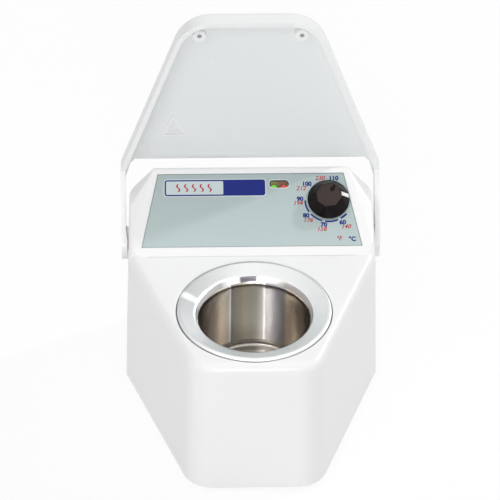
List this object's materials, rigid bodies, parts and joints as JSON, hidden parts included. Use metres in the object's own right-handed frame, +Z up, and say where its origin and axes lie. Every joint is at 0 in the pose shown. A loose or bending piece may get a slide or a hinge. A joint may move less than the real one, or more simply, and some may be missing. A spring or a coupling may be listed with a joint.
{
  "type": "dental lab wax heater",
  "caption": "Compact heated dipping pot for dental wax, in a faceted white housing with a dial on a sloped panel and a hinged hood lid.",
  "frame": {"origin": "on the table, under the middle of the heater's footprint with its lid standing open", "axes": "+Z up, +Y to the back where the lid stands, +X to the user's right"},
  "size_m": [0.113, 0.1301, 0.1568],
  "materials": {
    "housing_plastic": "moulded, satin gloss",
    "lid_plastic": "moulded, gloss outside and satin inside",
    "foot_rubber": "matte",
    "steel": "zinc plated",
    "pot_aluminium": "turned, satin flange and polished bore",
    "seal_silicone": "matte",
    "heater_sheath": "rolled sheet",
    "insulation": "ceramic fibre felt",
    "label_film": "printed polyester film",
    "smoked_window": "smoked, clear",
    "lamp_green": "tinted, diffused",
    "lamp_red": "tinted, diffused",
    "black_plastic": "moulded, matte",
    "brass": "machined",
    "board_laminate": "solder resist",
    "capacitor_case": "dipped",
    "terminal_plastic": "moulded, matte",
    "fuse_glass": "clear",
    "bush_plastic": "acetal, matte",
    "knob_plastic": "gloss cone and matte top",
    "pointer_white": "let-in white plastic"
  },
  "bodies": {
    "root": {"housing": "housing_plastic", "base_plate": "housing_plastic", "rubber_feet": "foot_rubber", "base_screws": "steel", "wax_pot": "pot_aluminium", "pot_seal": "seal_silicone", "heater_band": "heater_sheath", "heater_clamp": "steel", "clamp_screw": "steel", "clamp_nut": "steel", "insulation_sleeve": "insulation", "floor_pad": "insulation", "pot_bridge": "steel", "bridge_screws": "steel", "pot_stud": "steel", "pot_washer": "steel", "pot_nut": "steel", "temperature_sensor": "steel", "thermal_fuse": "steel", "panel_label": "label_film", "lamp_window": "smoked_window", "green_lamp": "lamp_green", "red_lamp": "lamp_red", "lamp_spacer": "black_plastic", "potentiometer": "black_plastic", "panel_nut": "brass", "control_board": "board_laminate", "board_screws": "steel", "relay": "black_plastic", "capacitor": "capacitor_case", "terminal_block": "terminal_plastic", "glass_fuse": "fuse_glass", "cord_bush": "black_plastic", "cord_bush_nut": "black_plastic", "hinge_bushes": "bush_plastic"},
    "lid": {"lid": "lid_plastic", "hinge_clips": "steel"},
    "knob": {"knob": "knob_plastic", "knob_pointer": "pointer_white", "knob_shaft": "black_plastic"}
  },
  "joints": [
    {"name": "lid_hinge", "type": "hinge", "parent": "root", "child": "lid", "pos_m": [0, 0.03887, 0.052], "axis": [1, 0, 0], "range_deg": [0, 92.6]},
    {"name": "knob_turn", "type": "hinge", "parent": "root", "child": "knob", "pos_m": [0.03345, 0.0327, 0.07946], "axis": [0, 0.4587, -0.8886], "range_deg": [0, 295]}
  ]
}
